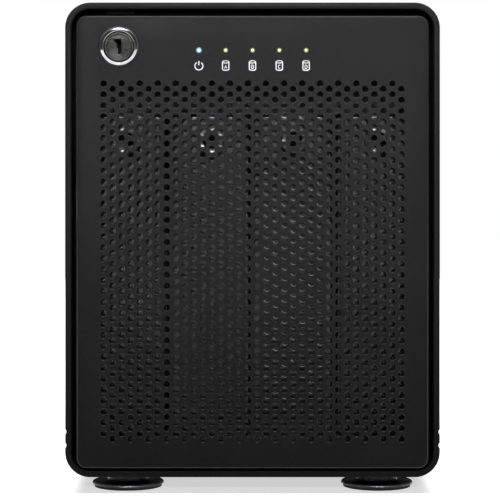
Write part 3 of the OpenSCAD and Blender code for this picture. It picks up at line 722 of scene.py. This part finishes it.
drive_lens = make_lens(1)
lenses = [make_lens(0), drive_lens]
lenses += [again(drive_lens, f"lamp_lens_{i}", lamp_x[i] - lamp_x[1]) for i in (2, 3, 4)]
for i, lens in enumerate(lenses):
    core, halo, power = ("#f4faff", "#4a6f8c", 1.3) if i == 0 else ("#fdfde6", "#565b26", 1.2)
    glow = lit_lens(f"lit_acrylic_lens_{i}", lamp_x[i], lamp_z, lamp_r[i], core, halo, power)
    hand_over(lens, "door", None, "lamp_lens", glow)
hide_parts("door_lenses")

# %% Printed symbols
door_face_y = corners("door_panel")[0][1]


def arc(x, z, rx, rz, start, end, steps=12):
    """Points along part of an ellipse, angles in degrees."""
    angles = [math.radians(start + (end - start) * k / steps) for k in range(steps + 1)]
    return [(x + rx * math.cos(a), z + rz * math.sin(a)) for a in angles]


def stroke(points, width=0.34):
    """A thin rod along the points, pressed flat against the door."""
    bare()
    line = bpy.data.curves.new("stroke", "CURVE")
    line.dimensions = "3D"
    line.bevel_depth = width / 2 * MM
    line.bevel_resolution = 1
    line.use_fill_caps = True
    spline = line.splines.new("POLY")
    spline.points.add(len(points) - 1)
    for point, (x, z) in zip(spline.points, points):
        point.co = (x * MM, 0, z * MM, 1)
    rod = bpy.data.objects.new("stroke", line)
    bpy.context.scene.collection.objects.link(rod)
    only(rod)
    bpy.ops.object.convert(target="MESH")
    rod = bpy.context.object
    rod.scale = (1, 0.25, 1)
    rod.location = (0, door_face_y * MM, 0)
    return settle(rod, "stroke")


def letter(kind, x, z):
    """The strokes of one bay letter, 1.3 mm high."""
    w, h = 0.42, 0.62
    foot, head = (x - w, z - h), (x - w, z + h)
    shapes = {
        "A": [[foot, (x, z + h), (x + w, z - h)], [(x - w / 2, z - h / 4), (x + w / 2, z - h / 4)]],
        "B": [[foot, head, *arc(x, z + h / 2, w, h / 2, 90, -90, 6),
               *arc(x, z - h / 2, w, h / 2, 90, -90, 6), foot]],
        "C": [arc(x + 0.05, z, w, h, 50, 310, 10)],
        "D": [[foot, head, *arc(x - 0.05, z, w + 0.05, h, 90, -90, 8), foot]],
    }
    return shapes[kind]


def drive_mark(kind, x, z):
    """A cylinder outline with the bay's letter in it."""
    w, h, dome = 1.15, 1.3, 0.42
    body = [(x - w, z + h), (x - w, z - h), *arc(x, z - h, w, dome, 180, 360, 8), (x + w, z + h)]
    lid = arc(x, z + h, w, dome, 0, 360, 16)
    return [stroke(body), stroke(lid, 0.28)] + [stroke(s, 0.24) for s in letter(kind, x, z - 0.45)]


mark_z = 154.3
power_mark = [stroke(arc(lamp_x[0], mark_z - 0.15, 1.45, 1.45, 125, 415, 20), 0.42),
              stroke([(lamp_x[0], mark_z + 0.1), (lamp_x[0], mark_z + 1.6)], 0.42)]
marks = [join("power_mark", power_mark)]
marks += [join(f"drive_mark_{kind.lower()}", drive_mark(kind, x, mark_z))
          for x, kind in zip(lamp_x[1:], "ABCD")]
for mark in marks:
    hand_over(mark, "door", None, "lamp_lens", print_ink)

# %% [markdown]
# ## Turned feet
# The feet are low dishes turned from aluminium bar: a crisp bright lip, a shallow hollow and a
# narrower neck up to the case. The lathe outline is drawn once and spun.

# %% Four feet
foot_x, foot_y = 46, 102


def make_foot():
    outline = [(1.7, 1.25), (3.4, 1.25), (3.4, 1.0), (12.7, 1.0), (13.1, 1.12), (13.26, 1.3),
               (13.24, 1.5), (13.16, 1.75), (12.98, 1.98), (12.7, 2.12), (12.5, 2.14), (12.3, 1.95),
               (8.4, 2.2), (7.6, 2.6), (7.3, 3.3), (7.3, 6.0), (1.7, 6.0), (1.7, 1.25)]
    return turned("foot", outline, -foot_x, -foot_y, 0, axis=(0, 0, 1), steps=72)


def on_the_bright_lip(middle, face):
    """True on the lip, which is turned again after the foot has been anodised."""
    reach = math.hypot(abs(middle.x) / MM - foot_x, abs(middle.y) / MM - foot_y)
    return reach > 12.6 and middle.z > 1.5 * MM


first_foot = make_foot()
feet = [first_foot] + [again(first_foot, "foot", dx, dy)
                       for dx, dy in ((2 * foot_x, 0), (0, 2 * foot_y), (2 * foot_x, 2 * foot_y))]
second_finish(hand_over(join("turned_feet", feet), "case", "foot_bases"), extruded_aluminium,
              on_the_bright_lip)

# %% [markdown]
# ## Stage, light and camera
# The set is a white table of opal glass lit from below, as product photographers use to keep
# shadows thin. A wide honeycombed light in front is aimed high, so that its beam fades down the
# door. A softer light hangs overhead for the table and the case's top, and a small weak one from
# the right opens the shadows. The camera stands low with a long lens, so the box's sides stay
# nearly parallel.

# %% Floor
bare()
bpy.ops.mesh.primitive_plane_add(size=2.6, location=(0, 0.1, 0))
floor = settle(bpy.context.object, "floor")
opal, tree, shader, where = finish("opal_glass_table", "#fbfbfb", 0.8, Specular_IOR_Level=0.1)
tint(tree, shader, speckle(tree, where, 40), "#f9f9f9", "#fdfdfd")
shader.inputs["Emission Color"].default_value = tone("#ffffff")
shader.inputs["Emission Strength"].default_value = 0.6
floor.data.materials.append(opal)

# %% Lights
def soft_light(name, place, target, width, height, power, spread=180):
    """A rectangle of light; a small spread in degrees is a honeycomb in front of it."""
    lamp = bpy.data.lights.new(name, "AREA")
    lamp.spread = math.radians(spread)
    lamp.shape = "RECTANGLE"
    lamp.size, lamp.size_y = width, height
    lamp.energy = power
    holder = bpy.data.objects.new(name, lamp)
    bpy.context.scene.collection.objects.link(holder)
    holder.location = place
    holder.rotation_euler = (Vector(target) - Vector(place)).to_track_quat("-Z", "Y").to_euler()
    return holder


soft_light("overhead", (0, 0.1, 1.6), (0, 0.1, 0), 3.2, 3.2, 44, 60)
soft_light("front_comb", (0, -1.27, 0.647), (0, -0.12, 0.2704), 0.9, 0.4, 2.0, 10)
soft_light("front_soft", (0.75, -1.4, 0.3), (0, -0.12, 0.1), 0.5, 0.5, 0.35)
world = bpy.data.worlds.new("studio")
world.use_nodes = True
sky = world.node_tree
ray = put(sky, "ShaderNodeLightPath").outputs["Is Camera Ray"]
backdrop = put(sky, "ShaderNodeBackground", values={"Color": tone("#ffffff"), "Strength": 1.0})
fill = put(sky, "ShaderNodeBackground", values={"Color": tone("#ffffff"), "Strength": 0.05})
choice = put(sky, "ShaderNodeMixShader", [("Fac", ray), (1, fill.outputs[0]), (2, backdrop.outputs[0])])
sky.links.new(choice.outputs[0], sky.nodes["World Output"].inputs["Surface"])
bpy.context.scene.world = world
bpy.context.scene.view_settings.view_transform = "Standard"

# %% Camera
lens_mm, sensor_mm = 135, 36
lens = bpy.data.cameras.new("camera")
lens.lens, lens.sensor_width = lens_mm, sensor_mm
lens.shift_y = -0.134
camera = bpy.data.objects.new("camera", lens)
bpy.context.scene.collection.objects.link(camera)
camera.location = (-0.0009, cad_box[0].y - 0.674, 0.112)
camera.rotation_euler = (math.pi / 2, 0, 0)
lens.clip_end = 50
bpy.context.scene.camera = camera

# %% [markdown]
# ## Close

# %% Leave nothing selected
bare()
